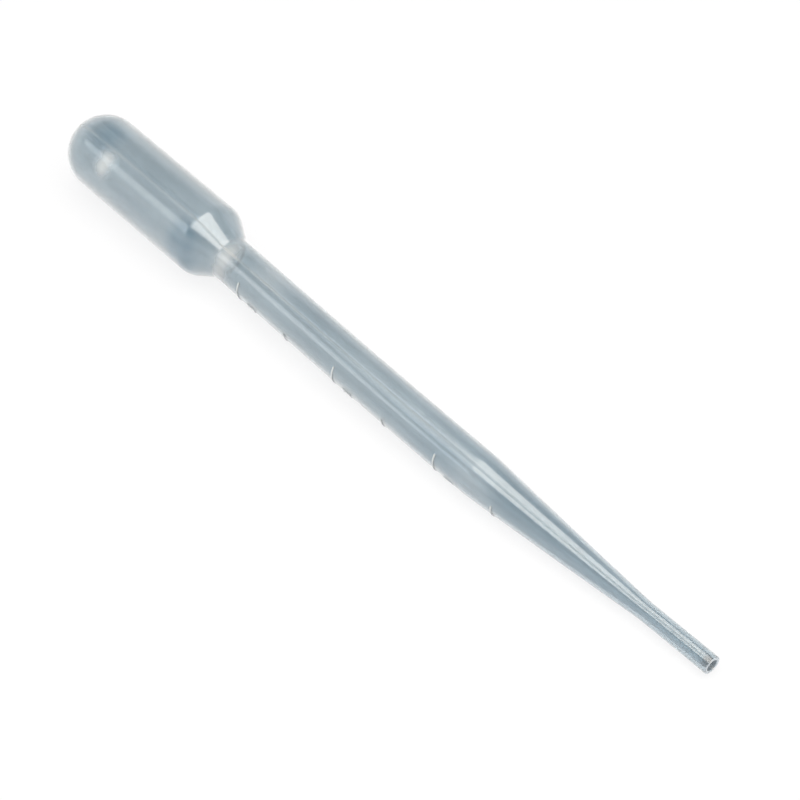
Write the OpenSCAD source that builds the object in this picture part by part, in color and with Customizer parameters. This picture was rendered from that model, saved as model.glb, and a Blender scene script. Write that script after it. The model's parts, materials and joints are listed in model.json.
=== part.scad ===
// Graduated plastic dropper pipette, blow moulded in one piece: a squeeze
// bulb with a domed end, a conical shoulder, a straight stem, a long taper
// and a fine open tip. It is hollow all through and open only at the tip.
// It lies on a surface, tip towards +X, on the edge of its shoulder and the
// end of its stem.

/* [Overall] */
// Length from the closed end of the bulb to the open tip
total_length = 155; // [145:1:170]

/* [Bulb] */
// Outside diameter of the bulb
bulb_diameter = 13.7; // [12:0.1:16]
// Length from the closed end to the edge of the shoulder
bulb_length = 35.8; // [28:0.1:42]
// Wall of the bulb
bulb_wall = 0.45; // [0.35:0.05:0.7]
// Angle between the shoulder and the axis
shoulder_angle = 30; // [25:1:45]
// Outside radius of the edge between the bulb and the shoulder
shoulder_round = 4.5; // [3:0.1:5]

/* [Stem] */
// Outside diameter of the stem
stem_diameter = 8; // [7.8:0.1:8.6]
// Bore of the stem
stem_bore = 7.16; // [6.8:0.02:7.2]
// Outside radius of the hollow where the shoulder meets the stem
neck_round = 1.2; // [0.6:0.1:2]
// Length of the taper between the stem and the tip
taper_length = 36.3; // [28:0.1:42]

/* [Tip] */
// Length of the straight tip
tip_length = 14.2; // [8:0.1:18]
// Outside diameter of the tip
tip_diameter = 3.25; // [3:0.05:3.8]
// Bore of the tip
tip_bore = 2.05; // [1.6:0.05:2.4]

/* [Graduations] */
// Volume between two marks, in millilitres
mark_step = 0.5; // [0.4:0.1:0.5]
// Number of marks, counted up from the tip
mark_count = 6; // [2:1:6]
// Thickness of the round line that forms a mark
mark_width = 0.45; // [0.35:0.05:0.6]
// How far a mark stands out of the wall
mark_height = 0.15; // [0.1:0.01:0.2]
// Angle that every second mark covers round the stem
long_mark_sweep = 96; // [60:2:140]
// Angle that each mark between two long ones covers
short_mark_sweep = 34; // [20:2:60]
// Angle that the first mark above the tip covers
first_mark_sweep = 62; // [20:2:100]

/* [Mould seam] */
// Width of the seam ridge
seam_width = 0.3; // [0.2:0.05:0.5]
// How far the seam stands out of the wall
seam_height = 0.07; // [0.05:0.01:0.12]
// Turn of the seam about the axis, from straight up towards -Y
seam_turn = 21; // [0:1:30]

/* [Hidden] */
$fn = 144;
// Sides of a mark's round line in a preview
mark_facets = 24;
// Extra length of a cutter past the face that it opens
cut = 1;
mm3_per_ml = 1000;

bulb_r = bulb_diameter / 2;
stem_r = stem_diameter / 2;
tip_r = tip_diameter / 2;
stem_bore_r = stem_bore / 2;
tip_bore_r = tip_bore / 2;
tip_start = total_length - tip_length;
taper_start = tip_start - taper_length;

// The bore steps back with the wall, so that the shoulder keeps its thickness
bore_bulb_length = bulb_length - bulb_wall * tan(shoulder_angle / 2);

// Volumes held by the tip and by the taper, counted from the open end
tip_volume = PI * pow(tip_bore_r, 2) * tip_length;
taper_growth = (stem_bore_r - tip_bore_r) / taper_length;
taper_volume = PI * taper_length / 3
    * (pow(stem_bore_r, 2) + stem_bore_r * tip_bore_r + pow(tip_bore_r, 2));

// Centre of the round edge of the shoulder, which it lies on
edge_x = bulb_length - shoulder_round * tan(shoulder_angle / 2);
edge_r = bulb_r - shoulder_round;

// Dip of the axis at which this point of the outline comes down level with
// the round edge of the shoulder
function dip(x, r) =
    atan2(edge_r - r, x - edge_x)
        + asin(shoulder_round / norm([edge_r - r, x - edge_x]));

// The end of the stem or the tip touches first
lie_angle = min(dip(taper_start, stem_r), dip(total_length, tip_r));
lie_height = edge_x * sin(lie_angle) + edge_r * cos(lie_angle) + shoulder_round;
low_x = bulb_r * cos(lie_angle) - bulb_r - seam_height;
high_x = total_length * cos(lie_angle) + tip_r * sin(lie_angle);

// Distance from the open tip at which the bore has taken in this volume
function fill_length(volume) =
    volume <= tip_volume
    ? volume / (PI * pow(tip_bore_r, 2))
    : volume <= tip_volume + taper_volume
    ? tip_length + (pow(3 * taper_growth * (volume - tip_volume) / PI
        + pow(tip_bore_r, 3), 1 / 3) - tip_bore_r) / taper_growth
    : tip_length + taper_length
        + (volume - tip_volume - taper_volume) / (PI * pow(stem_bore_r, 2));

// Outside radius of the stem, taper or tip at a distance from the closed end
function wall_radius(x) =
    x <= taper_start ? stem_r
    : x >= tip_start ? tip_r
    : stem_r + (tip_r - stem_r) * (x - taper_start) / taper_length;

// Where a shoulder that starts at this length has come down to the stem
function neck_length(length, bulb, stem) =
    length + (bulb - stem) / tan(shoulder_angle);

// Half outline from the closed end to the tip, radius across and length up:
// domed bulb, rounded shoulder edge, cone, hollow neck, stem, taper and tip
module half_outline(bulb, length, stem, tip, edge, hollow, end) {
    neck = neck_length(length, bulb, stem);
    edge_back = edge * tan(shoulder_angle / 2);
    neck_back = hollow * tan(shoulder_angle / 2);
    slope = [sin(shoulder_angle), cos(shoulder_angle)];
    difference() {
        union() {
            intersection() {
                union() {
                    translate([0, bulb_r]) circle(bulb);
                    translate([bulb - edge, length - edge_back]) circle(edge);
                }
                translate([0, bulb_r - bulb]) square([bulb, neck]);
            }
            polygon([
                [0, bulb_r],
                [bulb, bulb_r],
                [bulb, length - edge_back],
                [bulb - edge_back * slope[0], length + edge_back * slope[1]],
                [stem + neck_back * slope[0], neck - neck_back * slope[1]],
                [stem, neck + neck_back],
                [stem, taper_start],
                [tip, tip_start],
                [tip, end],
                [0, end],
            ]);
        }
        translate([stem + hollow, neck + neck_back]) circle(hollow);
    }
}

module outer_outline(extra = 0) {
    half_outline(bulb_r + extra,
        bulb_length + extra * tan(shoulder_angle / 2),
        stem_r + extra, tip_r + extra,
        shoulder_round + extra, neck_round - extra, total_length);
}

module bore_outline() {
    half_outline(bulb_r - bulb_wall, bore_bulb_length,
        stem_bore_r, tip_bore_r,
        shoulder_round - bulb_wall, neck_round + bulb_wall,
        total_length + cut);
}

// Ridge where the two halves of the mould met, right round the pipette
module seam() {
    rotate([90, 0, 0])
        linear_extrude(seam_width, center = true) {
            outer_outline(seam_height);
            mirror([1, 0]) outer_outline(seam_height);
        }
}

function mark_sweep(i) =
    i == 1 ? first_mark_sweep
    : i % 2 == 0 ? long_mark_sweep
    : short_mark_sweep;

// Raised round lines across the middle of one mould half, one for each volume
module graduations() {
    for (i = [1 : mark_count]) {
        level = total_length - fill_length(i * mark_step * mm3_per_ml);
        rotate([0, 0, -90 - mark_sweep(i) / 2])
            rotate_extrude(angle = mark_sweep(i))
                translate([
                    wall_radius(level) + mark_height - mark_width / 2,
                    level,
                ])
                    circle(d = mark_width, $fn = mark_facets);
    }
}

// The whole moulding, upright on its closed end with the seam in the X plane
module moulding() {
    difference() {
        union() {
            rotate_extrude() outer_outline();
            seam();
            graduations();
        }
        rotate_extrude() bore_outline();
    }
}

module pipette() {
    color([0.68, 0.75, 0.78, 0.75])
        translate([-(low_x + high_x) / 2, 0, lie_height])
            rotate([0, 90 + lie_angle, 0])
                rotate([0, 0, seam_turn])
                    moulding();
}

pipette();
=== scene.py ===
import json
import logging
import math
from dataclasses import dataclass, field
from enum import Enum, auto
from typing import Mapping, Sequence, Union

import bpy
from mathutils import Matrix, Vector


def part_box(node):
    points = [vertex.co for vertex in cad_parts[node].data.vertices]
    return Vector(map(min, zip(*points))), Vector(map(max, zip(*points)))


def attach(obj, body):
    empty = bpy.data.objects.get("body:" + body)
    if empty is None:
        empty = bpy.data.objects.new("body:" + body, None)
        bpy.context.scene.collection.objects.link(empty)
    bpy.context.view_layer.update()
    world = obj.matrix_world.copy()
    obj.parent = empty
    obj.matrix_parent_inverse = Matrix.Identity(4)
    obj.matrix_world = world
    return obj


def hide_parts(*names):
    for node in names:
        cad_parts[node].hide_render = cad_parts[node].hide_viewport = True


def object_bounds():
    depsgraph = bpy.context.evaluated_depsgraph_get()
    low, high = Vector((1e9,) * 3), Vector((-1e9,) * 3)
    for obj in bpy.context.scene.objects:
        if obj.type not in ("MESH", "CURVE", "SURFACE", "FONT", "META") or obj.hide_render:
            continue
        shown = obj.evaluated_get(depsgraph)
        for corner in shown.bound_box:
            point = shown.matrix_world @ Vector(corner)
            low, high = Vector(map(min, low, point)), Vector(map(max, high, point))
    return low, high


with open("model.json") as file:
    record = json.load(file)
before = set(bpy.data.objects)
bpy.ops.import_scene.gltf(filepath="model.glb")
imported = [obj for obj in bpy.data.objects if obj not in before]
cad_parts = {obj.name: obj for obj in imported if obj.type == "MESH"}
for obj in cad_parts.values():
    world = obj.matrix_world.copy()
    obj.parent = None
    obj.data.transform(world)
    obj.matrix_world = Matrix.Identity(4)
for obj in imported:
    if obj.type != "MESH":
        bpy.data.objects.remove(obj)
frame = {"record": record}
CAD_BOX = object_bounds()

MM = 0.001
NODE = "pipette"
BODY = "root"
PLACE_ATTRIBUTE = "mould_place"
RELIEF_ATTRIBUTE = "relief"
MARK_ATTRIBUTE = "mark"
TIE_BREAK = 0.001

log = logging.getLogger("pipette")

Colour = tuple[float, float, float]
WHITE: Colour = (1.0, 1.0, 1.0)
Link = Union["Wire", float, int, bool, str, Sequence[float]]


class Wire:
    """One output socket, which Python's operators turn into Math or Vector Math nodes."""

    def __init__(self, maker: "TreeMaker", socket: bpy.types.NodeSocket) -> None:
        """Wraps a socket.

        Args:
            maker: The tree maker that owns the socket's tree.
            socket: The output socket.
        """
        self.maker = maker
        self.socket = socket

    @property
    def is_vector(self) -> bool:
        """Whether the socket carries a vector or a colour."""
        return self.socket.type in {"VECTOR", "RGBA"}

    def _join(self, operation: str, first: Link, second: Link) -> "Wire":
        """Joins two values with a Math node, or a Vector Math node if either is a vector.

        Args:
            operation: The node's operation.
            first: The value on the left.
            second: The value on the right.

        Returns:
            The joined value.
        """
        either = any(isinstance(value, Wire) and value.is_vector for value in (first, second))
        join = self.maker.vector_math if either else self.maker.math
        return join(operation, first, second)

    def __add__(self, other: Link) -> "Wire":
        """Adds."""
        return self._join("ADD", self, other)

    def __radd__(self, other: Link) -> "Wire":
        """Adds, with the number on the left."""
        return self._join("ADD", other, self)

    def __sub__(self, other: Link) -> "Wire":
        """Subtracts."""
        return self._join("SUBTRACT", self, other)

    def __rsub__(self, other: Link) -> "Wire":
        """Subtracts from a number."""
        return self._join("SUBTRACT", other, self)

    def __mul__(self, other: Link) -> "Wire":
        """Multiplies."""
        return self._join("MULTIPLY", self, other)

    def __rmul__(self, other: Link) -> "Wire":
        """Multiplies, with the number on the left."""
        return self._join("MULTIPLY", other, self)

    def __truediv__(self, other: Link) -> "Wire":
        """Divides."""
        return self._join("DIVIDE", self, other)

    def __rtruediv__(self, other: Link) -> "Wire":
        """Divides a number by this value."""
        return self._join("DIVIDE", other, self)

    def __pow__(self, other: Link) -> "Wire":
        """Raises to a power."""
        return self._join("POWER", self, other)

    def __mod__(self, other: Link) -> "Wire":
        """Remainder of a division, never negative."""
        return self.maker.math("FLOORED_MODULO", self, other)

    def __lt__(self, other: Link) -> "Wire":
        """1 where this value is the smaller, else 0."""
        return self.maker.math("LESS_THAN", self, other)

    def __gt__(self, other: Link) -> "Wire":
        """1 where this value is the larger, else 0."""
        return self.maker.math("GREATER_THAN", self, other)


class TreeMaker:
    """Adds nodes to one tree, of a material, a world or a modifier."""

    def __init__(self, tree: bpy.types.NodeTree) -> None:
        """Takes a tree and empties it.

        Args:
            tree: The node tree to fill.
        """
        self.tree = tree
        tree.nodes.clear()

    def node(
        self,
        kind: str,
        settings: Mapping[str, object] | None = None,
        links: Mapping[str | int, Link] | None = None,
        output: str | int = 0,
    ) -> Wire:
        """Adds any node.

        Args:
            kind: The node's type name.
            settings: Its own settings, which are set first.
            links: Values or wires for its input sockets, by name or number.
            output: The output socket to return.

        Returns:
            The chosen output socket as a wire.
        """
        made = self.tree.nodes.new(kind)
        for name, value in (settings or {}).items():
            setattr(made, name, value)
        for name, value in (links or {}).items():
            self.link(value, made.inputs[name])
        return Wire(self, made.outputs[output])

    def link(self, value: Link, target: bpy.types.NodeSocket) -> None:
        """Links a wire to a socket, or sets the socket's own value.

        Args:
            value: The wire or the value.
            target: The input socket.
        """
        if isinstance(value, Wire):
            self.tree.links.new(value.socket, target)
        elif target.type == "RGBA" and len(value) == 3:
            target.default_value = (*value, 1.0)
        else:
            target.default_value = value

    def finish(self, kind: str, result: Wire) -> None:
        """Adds the tree's output node and links the result to it."""
        self.link(result, self.tree.nodes.new(kind).inputs[0])

    def sibling(self, wire: Wire, output: str | int) -> Wire:
        """Another output of the node that a wire comes from."""
        return Wire(self, wire.socket.node.outputs[output])

    def math(self, operation: str, *values: Link, clamp: bool = False) -> Wire:
        """Adds a Math node."""
        settings = {"operation": operation, "use_clamp": clamp}
        return self.node("ShaderNodeMath", settings, dict(enumerate(values)))

    def vector_math(self, operation: str, *values: Link) -> Wire:
        """Adds a Vector Math node."""
        settings = {"operation": operation}
        return self.node("ShaderNodeVectorMath", settings, dict(enumerate(values)))

    def vector(self, x: Link, y: Link, z: Link) -> Wire:
        """Joins three numbers into a vector."""
        return self.node("ShaderNodeCombineXYZ", links={0: x, 1: y, 2: z})

    def split(self, vector: Link) -> tuple[Wire, Wire, Wire]:
        """Splits a vector into its three numbers."""
        x = self.node("ShaderNodeSeparateXYZ", links={0: vector})
        return x, self.sibling(x, 1), self.sibling(x, 2)

    def ease(self, value: Link, start: Link, end: Link) -> Wire:
        """A smooth step.

        Args:
            value: The value that it follows.
            start: Where it is 0.
            end: Where it is 1.

        Returns:
            The step, from 0 to 1.
        """
        settings = {"interpolation_type": "SMOOTHSTEP"}
        links = {"Value": value, "From Min": start, "From Max": end}
        return self.node("ShaderNodeMapRange", settings, links)

    def least(self, first: Link, second: Link) -> Wire:
        """The smaller of two numbers."""
        return self.math("MINIMUM", first, second)

    def most(self, first: Link, second: Link) -> Wire:
        """The larger of two numbers."""
        return self.math("MAXIMUM", first, second)

    def attribute(self, name: str, output: str) -> Wire:
        """Reads an attribute of the surface."""
        return self.node("ShaderNodeAttribute", {"attribute_name": name}, output=output)

    def noise(self, place: Wire, scale: float, detail: float) -> Wire:
        """A noise texture, from 0 to 1."""
        links = {"Vector": place, "Scale": scale, "Detail": detail}
        return self.node("ShaderNodeTexNoise", links=links)

    def mix_colour(self, factor: Link, first: Link, second: Link) -> Wire:
        """Mixes two colours."""
        links = {"Factor": factor, 6: first, 7: second}
        return self.node("ShaderNodeMix", {"data_type": "RGBA"}, links, output=2)


class ShapeMaker(TreeMaker):
    """Builds one Geometry Nodes tree and turns its result into a plain mesh."""

    SOCKETS = {float: "NodeSocketFloat", int: "NodeSocketInt", Vector: "NodeSocketVector"}
    ON_POINTS = {"data_type": "FLOAT_VECTOR", "domain": "POINT"}
    WELD_DISTANCE = 0.001 * MM

    def __init__(self, name: str, sizes: Mapping[str, float | int | Vector]) -> None:
        """Makes the tree with one named input for each size.

        Args:
            name: Name of the tree.
            sizes: The sizes, by the names of their inputs.
        """
        super().__init__(bpy.data.node_groups.new(name, "GeometryNodeTree"))
        face = self.tree.interface
        face.new_socket("Geometry", in_out="OUTPUT", socket_type="NodeSocketGeometry")
        self.values = {}
        for label, value in sizes.items():
            made = face.new_socket(label, in_out="INPUT", socket_type=self.SOCKETS[type(value)])
            self.values[made.identifier] = value
        self.entry = self.tree.nodes.new("NodeGroupInput")

    def __getitem__(self, label: str) -> Wire:
        """The input with this name."""
        return Wire(self, self.entry.outputs[label])

    def choose(self, index: Link, choices: Sequence[Link], data_type: str = "FLOAT") -> Wire:
        """Picks one of several values by number.

        Args:
            index: Number of the choice, from 0.
            choices: The values to choose from.
            data_type: Type of the values.

        Returns:
            The chosen value.
        """
        chosen = self.node("GeometryNodeIndexSwitch", {"data_type": data_type})
        switch = chosen.socket.node
        while len(switch.index_switch_items) < len(choices):
            switch.index_switch_items.new()
        self.link(index, switch.inputs[0])
        for number, value in enumerate(choices, start=1):
            self.link(value, switch.inputs[number])
        return Wire(self, switch.outputs[0])

    def index(self) -> Wire:
        """Number of each point."""
        return self.node("GeometryNodeInputIndex")

    def position(self) -> Wire:
        """Position of each point."""
        return self.node("GeometryNodeInputPosition")

    def keep(self, geometry: Wire, name: str, value: Link) -> Wire:
        """Stores a vector on each point under a name."""
        links = {"Geometry": geometry, "Name": name, "Value": value}
        return self.node("GeometryNodeStoreNamedAttribute", self.ON_POINTS, links)

    def kept(self, name: str) -> Wire:
        """A vector that was stored under a name."""
        settings = {"data_type": "FLOAT_VECTOR"}
        return self.node("GeometryNodeInputNamedAttribute", settings, {"Name": name})

    def move(self, geometry: Wire, position: Wire) -> Wire:
        """Sets the position of each point."""
        links = {"Geometry": geometry, "Position": position}
        return self.node("GeometryNodeSetPosition", links=links)

    def sample(self, geometry: Wire, value: Wire, index: Wire) -> Wire:
        """Reads a vector from one point of another geometry."""
        links = {"Geometry": geometry, "Value": value, "Index": index}
        return self.node("GeometryNodeSampleIndex", self.ON_POINTS, links)

    def join(self, *parts: Wire) -> Wire:
        """Joins several geometries.

        Args:
            parts: The geometries.

        Returns:
            The joined geometry.
        """
        joined = self.node("GeometryNodeJoinGeometry")
        for part in parts:
            self.tree.links.new(part.socket, joined.socket.node.inputs[0])
        return joined

    def weld(self, mesh: Wire) -> Wire:
        """Merges points that lie on each other."""
        links = {"Geometry": mesh, "Distance": self.WELD_DISTANCE}
        return self.node("GeometryNodeMergeByDistance", links=links)

    def shade_smooth(self, mesh: Wire, crease: Link) -> Wire:
        """Shades a mesh smooth, with sharp edges where it turns by more than an angle.

        Args:
            mesh: The mesh.
            crease: The angle.

        Returns:
            The shaded mesh.
        """
        smooth = self.node("GeometryNodeSetShadeSmooth", {"domain": "FACE"}, {0: mesh})
        sharp = self.node("GeometryNodeInputMeshEdgeAngle") > crease
        links = {0: smooth, "Selection": sharp, "Shade Smooth": False}
        return self.node("GeometryNodeSetShadeSmooth", {"domain": "EDGE"}, links)

    def harvest(
        self, name: str, result: Wire, material: bpy.types.Material
    ) -> bpy.types.Object:
        """Ends the tree, evaluates it and keeps its result as a plain mesh.

        Args:
            name: Name of the object.
            result: The finished geometry.
            material: The material for all of it.

        Returns:
            The object, without a modifier.
        """
        solid = self.node("GeometryNodeRealizeInstances", links={0: result})
        links = {"Geometry": solid, "Material": material}
        dressed = self.node("GeometryNodeSetMaterial", links=links)
        self.finish("NodeGroupOutput", dressed)
        host = bpy.data.objects.new(name, bpy.data.meshes.new(name + "_seed"))
        bpy.context.scene.collection.objects.link(host)
        modifier = host.modifiers.new(name, "NODES")
        modifier.node_group = self.tree
        for identifier, value in self.values.items():
            modifier[identifier] = value
        graph = bpy.context.evaluated_depsgraph_get()
        mesh = bpy.data.meshes.new_from_object(host.evaluated_get(graph), depsgraph=graph)
        host.modifiers.remove(modifier)
        host.data = mesh
        return host


@dataclass(frozen=True)
class Spot:
    """A soft patch of deeper tint, which paints shade, or of paler milk, which paints light.

    It lies at a place along the part and at a turn from straight up towards
    -Y, reaches this far along and sweeps this far round to each side, and is
    this strong in its middle.
    """

    along: float
    reach: float
    turn: float
    sweep: float
    depth: float


@dataclass(frozen=True)
class Polyethylene:
    """Milky, slightly blue low-density polyethylene, as it comes out of a blow mould."""

    clear_tint: Colour = (0.585, 0.662, 0.700)
    deep_tint: Colour = (0.34, 0.47, 0.55)
    milk: Colour = (0.585, 0.69, 0.775)
    bore_shade: Colour = (0.09, 0.10, 0.11)
    # Pale milk of the raised marks and seams, also the colour of the painted light spots.
    pale_milk: Colour = (0.81, 0.835, 0.835)
    roughness: float = 0.11
    milk_roughness: float = 0.3
    index_of_refraction: float = 1.51
    skin_roughness: float = 0.2
    skin_index: float = 1.6
    bloom: float = 0.4
    bloom_spread: float = 0.4
    haze: float = 0.06
    relief_haze: float = 0.75
    seam_haze: tuple[float, float] = (0.03, 0.085)
    seam_firms: tuple[float, float] = (28 * MM, 44 * MM)
    seam_dulling: float = 0.7
    cloud_tint: float = 0.2
    tip_tint: float = 0.35
    tip_thickens: tuple[float, float] = (74 * MM, 112 * MM)
    # How much paler the painted light spots are.
    spot_paleness: float = 2.0
    cut_haze: float = 0.7
    cut_fade: tuple[float, float] = (0.12 * MM, 0.02 * MM)
    tip_end: float = 155 * MM
    mouth_depth: float = 2.0 * MM
    mouth_radii: tuple[float, float] = (1.03 * MM, 1.13 * MM)
    # Painted shade: spots of deeper tint that darken the top of the dome and the bulb's front low
    # down by the shoulder.
    thick_spots: tuple[Spot, ...] = (
        Spot(34.8 * MM, 4.6 * MM, math.radians(76), math.radians(64), 1.4),
        Spot(9.3 * MM, 4.8 * MM, math.radians(12), math.radians(42), 0.85),
    )
    # Painted light: paler, milkier patches that paint a highlight on the dome, a light zone at the
    # neck, and lighter patches on the stem and the taper.
    milky_spots: tuple[Spot, ...] = (
        Spot(42.6 * MM, 3.6 * MM, math.radians(55), math.radians(105), 0.4),
        Spot(12.7 * MM, 3.0 * MM, math.radians(48), math.radians(29), 0.43),
        Spot(52.0 * MM, 8.0 * MM, math.radians(-4), math.radians(40), 0.18),
        Spot(106.0 * MM, 9.0 * MM, math.radians(66), math.radians(45), 0.21),
    )
    streak_haze: float = 0.2
    cloud_haze: float = 0.12
    streak_length: float = 70 * MM
    streak_width: float = 1.3 * MM
    streak_detail: float = 3.0
    cloud_size: float = 11 * MM
    cloud_detail: float = 1.0
    seam_fade: tuple[float, float] = (0.1 * MM, 0.35 * MM)
    wave_depth: float = 0.005 * MM

    def material(self, seam_turn: float) -> bpy.types.Material:
        """Builds the material.

        Args:
            seam_turn: Turn of the seam about the axis.

        Returns:
            The finished material.
        """
        made = bpy.data.materials.new("milky_polyethylene")
        made.use_nodes = True
        maker = TreeMaker(made.node_tree)
        place = maker.attribute(PLACE_ATTRIBUTE, "Vector")
        relief = maker.attribute(RELIEF_ATTRIBUTE, "Fac")
        streaks = self._streaks(maker, place)
        clouds = self._clouds(maker, place)
        seam = self._seam(maker, place, seam_turn)
        haze = self.haze + streaks * self.streak_haze + clouds * self.cloud_haze
        haze = haze + self._seam_haze(maker, place, seam) + relief * self.relief_haze
        # The painted light spots make the wall milkier and paler there, which paints light on it.
        painted_light = self._spots(maker, place, self.milky_spots)
        haze = haze + painted_light
        haze = haze + self._cut_end(maker, place) * self.cut_haze
        # Marks and seams are really paler milk; the painted light spots add painted light to the
        # same mix.
        pale = maker.math("ADD", relief + seam, painted_light * self.spot_paleness, clamp=True)
        milk = maker.mix_colour(pale, self.milk, self.pale_milk)
        normal = self._waves(maker, streaks)
        common = {
            "IOR": self.index_of_refraction,
            "Normal": normal,
            "Coat Weight": 1 - seam * self.seam_dulling,
            "Coat Roughness": self.skin_roughness,
            "Coat IOR": self.skin_index,
            "Sheen Weight": self.bloom,
            "Sheen Roughness": self.bloom_spread,
        }
        # Deeper tint where the wall thickens, and painted shade on the shade spots.
        thickness_and_shade = self._thickness(maker, place, clouds)
        tint = maker.mix_colour(thickness_and_shade, self.clear_tint, self.deep_tint)
        tint = maker.mix_colour(self._mouth(maker, place), tint, self.bore_shade)
        clear = {"Base Color": tint, "Roughness": self.roughness, "Transmission Weight": 1.0}
        matt = {"Base Color": milk, "Roughness": self.milk_roughness}
        first = maker.node("ShaderNodeBsdfPrincipled", links={**common, **clear})
        second = maker.node("ShaderNodeBsdfPrincipled", links={**common, **matt})
        surface = maker.node("ShaderNodeMixShader", links={0: haze, 1: first, 2: second})
        maker.finish("ShaderNodeOutputMaterial", surface)
        return made

    def _streaks(self, maker: TreeMaker, place: Wire) -> Wire:
        """Draws fine flow lines along the pipette.

        Args:
            maker: The tree.
            place: Place in the mould's own directions.

        Returns:
            The lines, from -1 to 1.
        """
        across = 1 / self.streak_width
        stretched = maker.vector_math("MULTIPLY", place, (1 / self.streak_length, across, across))
        return maker.noise(stretched, 1.0, self.streak_detail) * 2 - 1

    def _clouds(self, maker: TreeMaker, place: Wire) -> Wire:
        """Broad patches where the wall is thicker or thinner, from -1 to 1."""
        return maker.noise(place, 1 / self.cloud_size, self.cloud_detail) * 2 - 1

    def _seam(self, maker: TreeMaker, place: Wire, seam_turn: float) -> Wire:
        """Finds the two seams.

        Args:
            maker: The tree.
            place: Place in the mould's own directions.
            seam_turn: Turn of the seam about the axis.

        Returns:
            1 on the seams, falling to 0 beside them.
        """
        _, height, side = maker.split(place)
        off = maker.math("ABSOLUTE", side * math.cos(seam_turn) - height * math.sin(seam_turn))
        return 1 - maker.ease(off, *self.seam_fade)

    def _seam_haze(self, maker: TreeMaker, place: Wire, seam: Wire) -> Wire:
        """Makes the two seams hazy, less on the bulb than on the stem.

        Args:
            maker: The tree.
            place: Place in the mould's own directions.
            seam: 1 on the seams.

        Returns:
            The haze that they add.
        """
        along, _, _ = maker.split(place)
        faint, firm = self.seam_haze
        return seam * (maker.ease(along, *self.seam_firms) * (firm - faint) + faint)

    def _spots(self, maker: TreeMaker, place: Wire, spots: Sequence[Spot]) -> Wire:
        """Adds up the spots.

        Args:
            maker: The tree.
            place: Place in the mould's own directions.
            spots: The spots.

        Returns:
            Their sum at this place.
        """
        along, height, side = maker.split(place)
        radius = maker.math("SQRT", height * height + side * side)
        total: Link = 0.0
        for spot in spots:
            facing = (height * math.cos(spot.turn) + side * math.sin(spot.turn)) / radius
            across = maker.ease(facing, math.cos(spot.sweep), 1.0)
            off = maker.math("ABSOLUTE", along - spot.along)
            total = total + across * (1 - maker.ease(off, 0.0, spot.reach)) * spot.depth
        return total

    def _thickness(self, maker: TreeMaker, place: Wire, clouds: Wire) -> Wire:
        """Works out where the tint is deeper: a thicker wall towards the tip, broad random
        patches, and painted shade spots.

        Args:
            maker: The tree.
            place: Place in the mould's own directions.
            clouds: The broad patches.

        Returns:
            How much deeper the tint is, from 0 to 1.
        """
        along, _, _ = maker.split(place)
        # The spots paint shade; the clouds are random tone of the wall.
        depth = self._spots(maker, place, self.thick_spots) + clouds * self.cloud_tint
        tip = maker.ease(along, *self.tip_thickens) * self.tip_tint
        return maker.math("ADD", depth, tip, clamp=True)

    def _mouth(self, maker: TreeMaker, place: Wire) -> Wire:
        """Finds the bore just inside the open end, where little light gets in.

        Args:
            maker: The tree.
            place: Place in the mould's own directions.

        Returns:
            1 there, else 0.
        """
        along, height, side = maker.split(place)
        radius = maker.math("SQRT", height * height + side * side)
        inside = 1 - maker.ease(radius, *self.mouth_radii)
        depths = (self.tip_end - self.mouth_depth, self.tip_end - self.mouth_depth / 2)
        return inside * maker.ease(along, *depths)

    def _cut_end(self, maker: TreeMaker, place: Wire) -> Wire:
        """1 on the cut face of the tip."""
        along, _, _ = maker.split(place)
        return maker.ease(along, *(self.tip_end - inset for inset in self.cut_fade))

    def _waves(self, maker: TreeMaker, streaks: Wire) -> Wire:
        """Normal of a wall that is drawn slightly uneven along its length."""
        links = {"Height": streaks, "Distance": self.wave_depth, "Strength": 1.0}
        return maker.node("ShaderNodeBump", links=links)


class Skin(Enum):
    """The two faces of the hollow wall."""

    OUTSIDE = auto()
    INSIDE = auto()


@dataclass(frozen=True)
class Pin:
    """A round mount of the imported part, in metres."""

    middle: Vector
    axis: Vector
    radius: float
    length: float

    @classmethod
    def named(cls, record: Mapping[str, object], name: str) -> "Pin":
        """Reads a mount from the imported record.

        Args:
            record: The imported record.
            name: Name of the mount.

        Returns:
            The mount.
        """
        mount = next(m for m in record["mounts"] if m["name"] == name)
        dims = mount["dims"]
        return cls(
            middle=Vector(mount["pos_m"]),
            axis=Vector(mount["axis"]).normalized(),
            radius=dims["r_mm"] * MM,
            length=dims["length_mm"] * MM,
        )


@dataclass(frozen=True)
class Corner:
    """One corner of an outline, with its rounding and the points that form it."""

    along: Link
    across: Link
    round: Link = 0.0
    points: Link = 1


@dataclass(frozen=True)
class Turn:
    """How a column lies round the axis."""

    angle: Wire
    from_seam: Wire
    columns_off: Wire
    front: Wire


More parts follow.
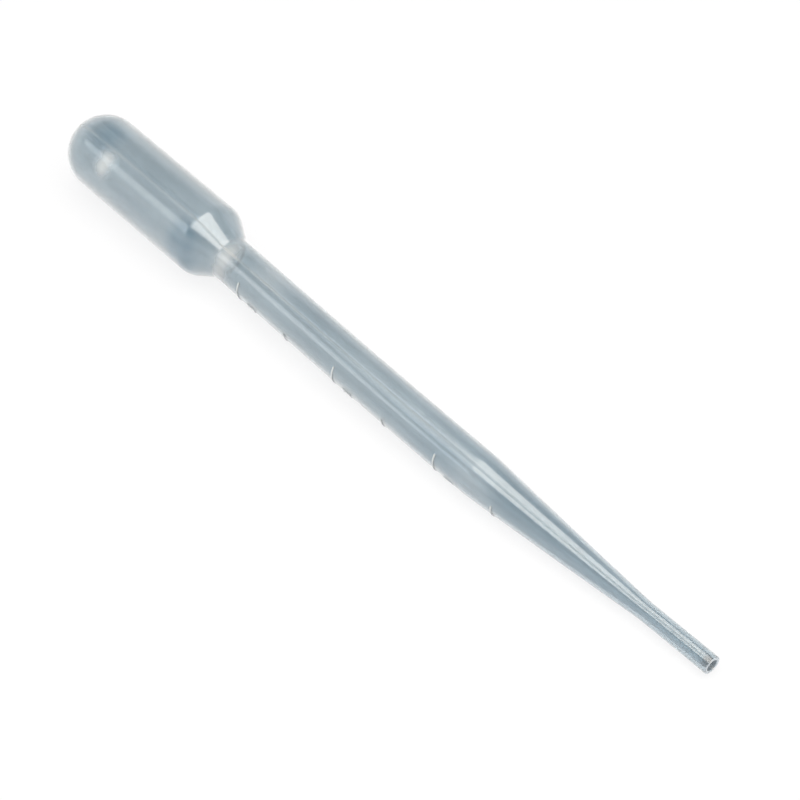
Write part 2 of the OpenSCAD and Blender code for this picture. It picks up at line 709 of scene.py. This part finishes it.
@dataclass(frozen=True)
class MouldedPipette:
    """The whole blow-moulded pipette: one closed wall with its seam, marks and numerals."""

    pole: Vector
    axis: Vector
    bulb_radius: float
    stem_radius: float
    tip_radius: float
    taper_start: float
    tip_start: float
    total_length: float
    bulb_length: float = 35.8 * MM
    bulb_wall: float = 0.45 * MM
    shoulder_angle: float = math.radians(30)
    shoulder_round: float = 4.5 * MM
    stem_bore_radius: float = 3.58 * MM
    neck_round: float = 1.2 * MM
    tip_bore_radius: float = 1.025 * MM
    rim_round: float = 0.12 * MM
    mark_volume: float = 0.5e-6
    mark_count: int = 6
    mark_width: float = 0.45 * MM
    mark_height: float = 0.15 * MM
    long_sweep: float = math.radians(96)
    short_sweep: float = math.radians(34)
    first_sweep: float = math.radians(62)
    numeral_size: float = 3.1 * MM
    numeral_gap: float = 3.6 * MM
    numeral_height: float = 0.13 * MM
    seam_width: float = 0.3 * MM
    seam_height: float = 0.05 * MM
    seam_turn: float = math.radians(21)
    bow: float = 0.84 * MM
    bow_start: float = 1.8 * MM
    bow_powers: tuple[float, float] = (1.5, 1.4)
    seam_fade: float = 1.5 * MM
    mark_fade: float = math.radians(1.5)
    taper_round: float = 12 * MM
    dome_points: int = 30
    shoulder_points: int = 12
    neck_points: int = 8
    taper_points: int = 6
    rim_points: int = 5
    half_columns: int = 72
    seam_columns: int = 2
    least_radius: float = 0.01 * MM
    mark_rings: int = 9
    ring_step: float = 1.5 * MM
    crease: float = math.radians(38)

    @classmethod
    def from_frame(
        cls, record: Mapping[str, object], box: tuple[Vector, Vector]
    ) -> "MouldedPipette":
        """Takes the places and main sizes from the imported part.

        Args:
            record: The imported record, whose mounts give the stem and the tip.
            box: Lowest and highest corner of the part.

        Returns:
            The pipette, ready to build.
        """
        stem, tip = (Pin.named(record, name) for name in ("stem", "tip_spout"))
        bulb_radius = (box[1].y - box[0].y) / 2
        neck = (bulb_radius - stem.radius) / math.tan(cls.shoulder_angle)
        stem_start = cls.bulb_length + neck + cls.neck_round * math.tan(cls.shoulder_angle / 2)
        pole = stem.middle - stem.axis * (stem_start + stem.length / 2)
        tip_middle = (tip.middle - pole).dot(stem.axis)
        return cls(
            pole=pole,
            axis=stem.axis,
            bulb_radius=bulb_radius,
            stem_radius=stem.radius,
            tip_radius=tip.radius,
            taper_start=stem_start + stem.length,
            tip_start=tip_middle - tip.length / 2,
            total_length=tip_middle + tip.length / 2,
        )

    def build(self, finish: Polyethylene) -> bpy.types.Object:
        """Builds the wall, with its marks and numerals, in its place.

        Args:
            finish: The finish of the plastic.

        Returns:
            The pipette as one mesh object.
        """
        maker = ShapeMaker("pipette_wall", self._sizes())
        outside = self._skin(maker, Skin.OUTSIDE)
        inside = self._skin(maker, Skin.INSIDE)
        wall = maker.weld(maker.join(outside, inside))
        numerals = self._numerals(maker)
        settings = {"operation": "UNION", "solver": "MANIFOLD"}
        moulding = maker.node("GeometryNodeMeshBoolean", settings)
        for part in (wall, numerals):
            maker.tree.links.new(part.socket, moulding.socket.node.inputs["Mesh 2"])
        smooth = maker.shade_smooth(self._lay_down(maker, moulding), maker["Crease"])
        return maker.harvest("pipette_wall", smooth, finish.material(self.seam_turn))

    def _sizes(self) -> dict[str, float | int | Vector]:
        """Gathers what the tree takes in.

        Returns:
            The directions and every size, by the names of the tree's inputs.
        """
        side = Vector((0, -1, 0))
        up = side.cross(self.axis).normalized()
        sizes = {"Pole": self.pole, "Axis": self.axis, "Up": up, "Side": side}
        for name, value in vars(self).items():
            if isinstance(value, (int, float)):
                sizes[name.replace("_", " ").capitalize()] = value
        return sizes

    def _skin(self, maker: ShapeMaker, skin: Skin) -> Wire:
        """Turns one outline round the axis.

        Args:
            maker: The tree.
            skin: The outer or the inner face of the wall.

        Returns:
            The face of the wall, in the mould's own directions.
        """
        outline = self._outline(maker, skin)
        rings = maker.node("GeometryNodeCurveToPoints", {"mode": "EVALUATED"}, {0: outline})
        if skin is Skin.OUTSIDE:
            along, radius, _ = maker.split(maker.position())
            rings = maker.join(rings, self._mark_rings(maker))
            links = {"Geometry": rings, "Sort Weight": along - radius * TIE_BREAK}
            rings = maker.node("GeometryNodeSortElements", {"domain": "POINT"}, links)
        settings = {"component": "POINTCLOUD"}
        count = maker.node("GeometryNodeAttributeDomainSize", settings, {0: rings})
        columns = maker["Half columns"] * 2 + 1
        links = {"Vertices X": count, "Vertices Y": columns}
        grid = maker.node("GeometryNodeMeshGrid", links=links)
        ring = maker.math("FLOOR", maker.index() / columns)
        along, radius, _ = maker.split(maker.sample(rings, maker.position(), ring))
        turn = self._turn(maker, maker.index() % columns, radius)
        if skin is Skin.OUTSIDE:
            lift, sweep, _ = maker.split(maker.sample(rings, maker.kept(MARK_ATTRIBUTE), ring))
            off_centre = maker.math("ABSOLUTE", turn.from_seam - math.pi / 2)
            edge = sweep / 2
            fade = maker["Mark fade"]
            window = 1 - maker.ease(off_centre, edge - fade, edge + fade)
            off_pole = maker.ease(radius, 0, maker["Seam fade"])
            ends = off_pole * maker.ease(maker["Total length"] - along, 0, maker["Seam fade"])
            seam = (1 - maker.ease(turn.columns_off, 0, maker["Seam columns"])) * ends
            ridge = lift * window * turn.front
            radius = radius + maker["Seam height"] * seam + ridge
        height = radius * maker.math("COSINE", turn.angle)
        place = maker.vector(along, height, radius * maker.math("SINE", turn.angle))
        turned = maker.move(grid, place)
        if skin is Skin.OUTSIDE:
            raised = ridge / maker["Mark height"]
            turned = maker.keep(turned, RELIEF_ATTRIBUTE, maker.vector(raised, raised, raised))
            turned = maker.node("GeometryNodeFlipFaces", links={0: turned})
        return turned

    def _turn(self, maker: ShapeMaker, column: Wire, radius: Wire) -> Turn:
        """Works out the angle of a column, with a few columns gathered on each seam.

        Args:
            maker: The tree.
            column: Number of the column, from the front seam round to itself.
            radius: Radius of the ring.

        Returns:
            The column's angle and how it lies to the seams.
        """
        half, gathered = maker["Half columns"], maker["Seam columns"]
        seam_angle = maker["Seam width"] / (radius + maker["Least radius"])
        step = maker.least(seam_angle / (gathered * 2), math.pi / half)
        in_half = column % half
        off = maker.least(in_half, half - in_half)
        spread = (math.pi - step * (gathered * 2)) / (half - gathered * 2)
        from_near = step * maker.least(off, gathered)
        from_near = from_near + spread * maker.most(off - gathered, 0)
        near_end = in_half > half / 2
        from_seam = from_near + near_end * (math.pi - from_near * 2)
        halves = maker.math("FLOOR", column / half)
        angle = maker["Seam turn"] + halves * math.pi + from_seam
        return Turn(angle=angle, from_seam=from_seam, columns_off=off, front=halves < 0.5)

    def _outline(self, maker: ShapeMaker, skin: Skin) -> Wire:
        """Draws half the outline of one face of the wall, from the closed end to the rim.

        Args:
            maker: The tree.
            skin: The outer or the inner face of the wall.

        Returns:
            A curve with length along X and radius along Y.
        """
        wall = maker["Bulb wall"] if skin is Skin.INSIDE else 0.0
        stem = maker["Stem bore radius"] if skin is Skin.INSIDE else maker["Stem radius"]
        tip = maker["Tip bore radius"] if skin is Skin.INSIDE else maker["Tip radius"]
        bulb = maker["Bulb radius"] - wall
        half_angle = maker["Shoulder angle"] / 2
        shoulder = maker["Bulb length"] - wall * maker.math("TANGENT", half_angle)
        neck = shoulder + (bulb - stem) / maker.math("TANGENT", maker["Shoulder angle"])
        rim = (maker["Tip radius"] + maker["Tip bore radius"]) / 2
        edge, hollow = maker["Shoulder round"] - wall, maker["Neck round"] + wall
        eased, eased_points = maker["Taper round"], maker["Taper points"]
        corners = (
            Corner(wall, 0.0),
            Corner(wall, bulb, bulb, maker["Dome points"]),
            Corner(shoulder, bulb, edge, maker["Shoulder points"]),
            Corner(neck, stem, hollow, maker["Neck points"]),
            Corner(maker["Taper start"], stem, eased, eased_points),
            Corner(maker["Tip start"], tip, eased, eased_points),
            Corner(maker["Total length"], tip, maker["Rim round"], maker["Rim points"]),
            Corner(maker["Total length"], rim),
        )
        index = maker.index()
        line = maker.node("GeometryNodeMeshLine", links={"Count": len(corners)})
        curve = maker.node("GeometryNodeMeshToCurve", links={0: line})
        places = [maker.vector(c.along, c.across, 0.0) for c in corners]
        curve = maker.move(curve, maker.choose(index, places, "VECTOR"))
        links = {
            "Curve": curve,
            "Count": maker.choose(index, [c.points for c in corners], "INT"),
            "Radius": maker.choose(index, [c.round for c in corners]),
            "Limit Radius": True,
        }
        curve = maker.node("GeometryNodeFilletCurve", {"mode": "POLY"}, links)
        links = {"Value": maker.position(), "Index": maker.index() + 1}
        ahead = maker.node("GeometryNodeFieldAtIndex", maker.ON_POINTS, links)
        gap = maker.sibling(maker.vector_math("DISTANCE", ahead, maker.position()), "Value")
        cuts = maker.math("FLOOR", gap / maker["Ring step"])
        return maker.node("GeometryNodeSubdivideCurve", links={"Curve": curve, "Cuts": cuts})

    def _level(self, maker: ShapeMaker, volume: Wire) -> Wire:
        """Finds the place along the pipette to which the bore takes in a volume.

        Args:
            maker: The tree.
            volume: The volume, counted from the open end.

        Returns:
            The distance from the closed end.
        """
        stem, tip = maker["Stem bore radius"], maker["Tip bore radius"]
        taper = maker["Tip start"] - maker["Taper start"]
        growth = (stem - tip) / taper
        tip_volume = tip * tip * (maker["Total length"] - maker["Tip start"]) * math.pi
        taper_volume = taper * (stem * stem + stem * tip + tip * tip) * (math.pi / 3)
        cube = growth * (volume - tip_volume) * (3 / math.pi) + tip * tip * tip
        in_taper = maker["Tip start"] - (cube ** (1 / 3) - tip) / growth
        left = volume - tip_volume - taper_volume
        in_stem = maker["Taper start"] - left / (stem * stem * math.pi)
        links = {0: left > 0, "False": in_taper, "True": in_stem}
        return maker.node("GeometryNodeSwitch", {"input_type": "FLOAT"}, links)

    def _radius_at(self, maker: ShapeMaker, along: Wire) -> Wire:
        """Works out how wide the stem or the taper is at a place.

        Args:
            maker: The tree.
            along: Distance from the closed end.

        Returns:
            The outside radius there.
        """
        narrowing = maker["Stem radius"] - maker["Tip radius"]
        slope = narrowing / (maker["Tip start"] - maker["Taper start"])
        return maker["Stem radius"] - slope * maker.most(along - maker["Taper start"], 0)

    def _mark_rings(self, maker: ShapeMaker) -> Wire:
        """Adds the rings that round the ridge of each mark.

        Args:
            maker: The tree.

        Returns:
            Points with length along X and radius along Y, which keep the
            ridge's height there and its sweep.
        """
        rings = maker["Mark rings"]
        mark = maker.math("FLOOR", maker.index() / rings) + 1
        across = (maker.index() % rings) / (rings - 1) * 2 - 1
        line = maker["Mark width"] / 2
        sunk = line - maker["Mark height"]
        reach = maker.math("SQRT", line * line - sunk * sunk)
        off = reach * maker.math("SINE", across * (math.pi / 2))
        lift = maker.most(maker.math("SQRT", line * line - off * off) - sunk, 0)
        along = self._level(maker, mark * maker["Mark volume"]) + off
        place = maker.vector(along, self._radius_at(maker, along), 0.0)
        links = {"Count": maker["Mark count"] * rings, "Position": place}
        points = maker.node("GeometryNodePoints", links=links)
        every_second = (mark % 2) < 0.5
        sweep = maker["Short sweep"] + every_second * (maker["Long sweep"] - maker["Short sweep"])
        sweep = sweep + (mark < 1.5) * (maker["First sweep"] - maker["Short sweep"])
        return maker.keep(points, MARK_ATTRIBUTE, maker.vector(lift, sweep, 0.0))

    def _numerals(self, maker: ShapeMaker) -> Wire:
        """Raises a plain numeral beside each long mark, its top towards the bulb.

        Args:
            maker: The tree.

        Returns:
            The numerals, in the mould's own directions.
        """
        made = []
        sunk = maker["Numeral height"]
        for number in range(1, self.mark_count // 2 + 1):
            links = {"String": str(number), "Size": maker["Numeral size"]}
            settings = {"align_x": "CENTER", "align_y": "MIDDLE"}
            letters = maker.node("GeometryNodeStringToCurves", settings, links)
            letters = maker.node("GeometryNodeRealizeInstances", links={0: letters})
            flat = maker.node("GeometryNodeFillCurve", {"mode": "TRIANGLES"}, {0: letters})
            flat = maker.node("GeometryNodeSubdivideMesh", links={"Mesh": flat, "Level": 1})
            links = {
                "Mesh": flat,
                "Offset": (0.0, 0.0, 1.0),
                "Offset Scale": sunk * 2,
                "Individual": False,
            }
            top = maker.node("GeometryNodeExtrudeMesh", {"mode": "FACES"}, links)
            back = maker.node("GeometryNodeFlipFaces", links={0: flat})
            solid = maker.weld(maker.join(top, back))
            across, upright, height = maker.split(maker.position())
            volume = maker["Mark volume"] * (2.0 * number)
            along = self._level(maker, volume) + maker["Numeral gap"] - upright
            radius = self._radius_at(maker, along)
            angle = maker["Seam turn"] + math.pi / 2 - across / radius
            radius = radius + height - sunk
            side = radius * maker.math("SINE", angle)
            place = maker.vector(along, radius * maker.math("COSINE", angle), side)
            placed = maker.move(solid, place)
            made.append(maker.keep(placed, RELIEF_ATTRIBUTE, (1.0, 1.0, 1.0)))
        return maker.join(*made)

    def _lay_down(self, maker: ShapeMaker, moulding: Wire) -> Wire:
        """Bends the moulding by its slight bow and lays it where the part lies.

        Args:
            maker: The tree.
            moulding: The wall in the mould's own directions.

        Returns:
            The wall in its place, with the mould's directions kept on it.
        """
        moulding = maker.keep(moulding, PLACE_ATTRIBUTE, maker.position())
        along, height, side = maker.split(maker.position())
        start = maker["Bulb length"] - maker["Bow start"]
        share = (along - start) / (maker["Total length"] - start)
        share = maker.math("MULTIPLY", share, 1.0, clamp=True)
        rise, fall = self.bow_powers
        peak = (rise / (rise + fall)) ** rise * (fall / (rise + fall)) ** fall
        bend = share**rise * (1 - share) ** fall / peak
        side = side + bend * maker["Bow"]
        place = maker["Pole"] + maker["Axis"] * along + maker["Up"] * height + maker["Side"] * side
        return maker.move(moulding, place)


@dataclass(frozen=True)
class Floor:
    """Plain pale floor that runs out of sight."""

    half_width: float = 3.0
    colour: Colour = (0.88, 0.91, 0.96)
    glow: float = 1.0
    near_glow: float = 0.85
    fade: tuple[float, float] = (0.35, 1.2)

    def build(self, top: float) -> bpy.types.Object:
        """Builds the floor.

        Args:
            top: Height of its surface.

        Returns:
            The floor.
        """
        mesh = bpy.data.meshes.new("floor")
        reach = self.half_width
        flat = ((-reach, -reach), (reach, -reach), (reach, reach), (-reach, reach))
        mesh.from_pydata([(x, y, top) for x, y in flat], [], [(0, 1, 2, 3)])
        mesh.materials.append(self._material())
        made = bpy.data.objects.new("floor", mesh)
        bpy.context.scene.collection.objects.link(made)
        return made

    def _material(self) -> bpy.types.Material:
        """Makes it white to the eye, and pale and matt to the light.

        Returns:
            The finished material.
        """
        made = bpy.data.materials.new("pale_floor")
        made.use_nodes = True
        maker = TreeMaker(made.node_tree)
        matt = maker.node("ShaderNodeBsdfDiffuse", links={"Color": self.colour})
        glow = maker.node("ShaderNodeEmission", links={"Color": WHITE, "Strength": self.glow})
        place = maker.node("ShaderNodeTexCoord", output="Object")
        away = maker.sibling(maker.vector_math("LENGTH", place), "Value")
        share = self.near_glow + maker.ease(away, *self.fade) * (1 - self.near_glow)
        links = {0: seen_directly(maker) * share, 1: matt, 2: glow}
        maker.finish("ShaderNodeOutputMaterial", maker.node("ShaderNodeMixShader", links=links))
        return made


def seen_directly(maker: TreeMaker) -> Wire:
    """Tells what is shown from what only lights.

    Args:
        maker: The tree of a material or a world.

    Returns:
        1 for what the camera, gloss or clear plastic shows, else 0.
    """
    camera = maker.node("ShaderNodeLightPath", output="Is Camera Ray")
    glossy = maker.sibling(camera, "Is Glossy Ray")
    clear = maker.sibling(camera, "Is Transmission Ray")
    return maker.most(camera, maker.most(glossy, clear))


@dataclass(frozen=True)
class Softbox:
    """One rectangular lamp above the part, level with it and facing down on it.

    The lamp is given by the angles from straight up between which the part
    sees it, towards +X and towards -Y.
    """

    name: str
    lean_x: tuple[float, float]
    lean_y: tuple[float, float]
    radiance: float
    colour: Colour
    height: float = 0.6

    def build(self, target: Vector) -> bpy.types.Object:
        """Builds the lamp.

        Args:
            target: The point from which its angles are measured.

        Returns:
            The lamp.
        """
        x = [self.height * math.tan(math.radians(angle)) for angle in self.lean_x]
        y = [-self.height * math.tan(math.radians(angle)) for angle in self.lean_y]
        lamp = bpy.data.lights.new(self.name, "AREA")
        lamp.shape = "RECTANGLE"
        lamp.size = abs(x[1] - x[0])
        lamp.size_y = abs(y[1] - y[0])
        lamp.energy = self.radiance * math.pi * lamp.size * lamp.size_y
        lamp.color = self.colour
        made = bpy.data.objects.new(self.name, lamp)
        bpy.context.scene.collection.objects.link(made)
        made.location = target + Vector((sum(x) / 2, sum(y) / 2, self.height))
        return made


def direction(azimuth: float, elevation: float) -> Vector:
    """Direction from the part towards the camera.

    Args:
        azimuth: Turn from -Y towards +X, in degrees.
        elevation: Rise above level, in degrees.

    Returns:
        The direction, of length 1.
    """
    turn, rise = math.radians(azimuth), math.radians(elevation)
    level = math.cos(rise)
    return Vector((math.sin(turn) * level, -math.cos(turn) * level, math.sin(rise)))


def look_from(place: Vector, back: Vector) -> Matrix:
    """Matrix of a camera at a place, turned to look against a direction."""
    turn = (-back).to_track_quat("-Z", "Y").to_matrix().to_4x4()
    return Matrix.Translation(place) @ turn


@dataclass(frozen=True)
class Studio:
    """Camera, lamps and surroundings."""

    azimuth: float = 47.89
    elevation: float = 46.61
    distance: float = 474.0 * MM
    shift_right: float = 4.481 * MM
    shift_up: float = -2.805 * MM
    target: Vector = field(default_factory=lambda: Vector((0.0, 0.0, 4.0 * MM)))
    lens: float = 129.15
    clip_ratio: float = 100.0
    surround: float = 0.25
    ceiling: float = 0.4
    backdrop_fade: tuple[float, float] = (0.3, 0.7)
    softboxes: tuple[Softbox, ...] = (
        Softbox("softbox", (-23, 39), (-27, 36), 3.2, (1.0, 0.94, 0.87)),
        Softbox("softbox_spill", (-32, -23), (-2, 38), 1.3, WHITE),
        Softbox("window", (-53, -37), (38, 62), 1.5, WHITE),
    )

    def build(self) -> None:
        """Builds the camera, the lamps and the world."""
        self._camera()
        for softbox in self.softboxes:
            softbox.build(self.target)
            log.info("%s placed", softbox.name)
        self._world()

    def _camera(self) -> None:
        """Places the camera."""
        back = direction(self.azimuth, self.elevation)
        turn = math.radians(self.azimuth)
        right = Vector((math.cos(turn), math.sin(turn), 0.0))
        lens = bpy.data.cameras.new("camera")
        lens.lens = self.lens
        lens.clip_start = self.distance / self.clip_ratio
        lens.clip_end = self.distance * self.clip_ratio
        camera = bpy.data.objects.new("camera", lens)
        bpy.context.scene.collection.objects.link(camera)
        place = self.target + back * self.distance
        place += right * self.shift_right + back.cross(right) * self.shift_up
        camera.matrix_world = look_from(place, back)
        bpy.context.scene.camera = camera

    def _world(self) -> None:
        """White surroundings to the eye, which light the part softly."""
        world = bpy.data.worlds.new("studio")
        world.use_nodes = True
        bpy.context.scene.world = world
        maker = TreeMaker(world.node_tree)
        _, _, rise = maker.split(maker.node("ShaderNodeTexCoord", output="Generated"))
        backdrop = 1 - maker.ease(rise, *self.backdrop_fade) * (1 - self.ceiling)
        strength = self.surround + seen_directly(maker) * (backdrop - self.surround)
        light = maker.node("ShaderNodeBackground", links={"Color": WHITE, "Strength": strength})
        maker.finish("ShaderNodeOutputWorld", light)


def main() -> None:
    """Builds the studio and the pipette."""
    logging.basicConfig(level=logging.INFO, format="%(name)s: %(message)s")
    bpy.context.scene.view_settings.view_transform = "Standard"
    Studio().build()
    moulded = MouldedPipette.from_frame(frame["record"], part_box(NODE))
    pipette = moulded.build(Polyethylene())
    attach(pipette, BODY)
    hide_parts(NODE)
    log.info("%s: %d faces", pipette.name, len(pipette.data.polygons))
    Floor().build(CAD_BOX[0].z)


if __name__ == "__main__":
    main()
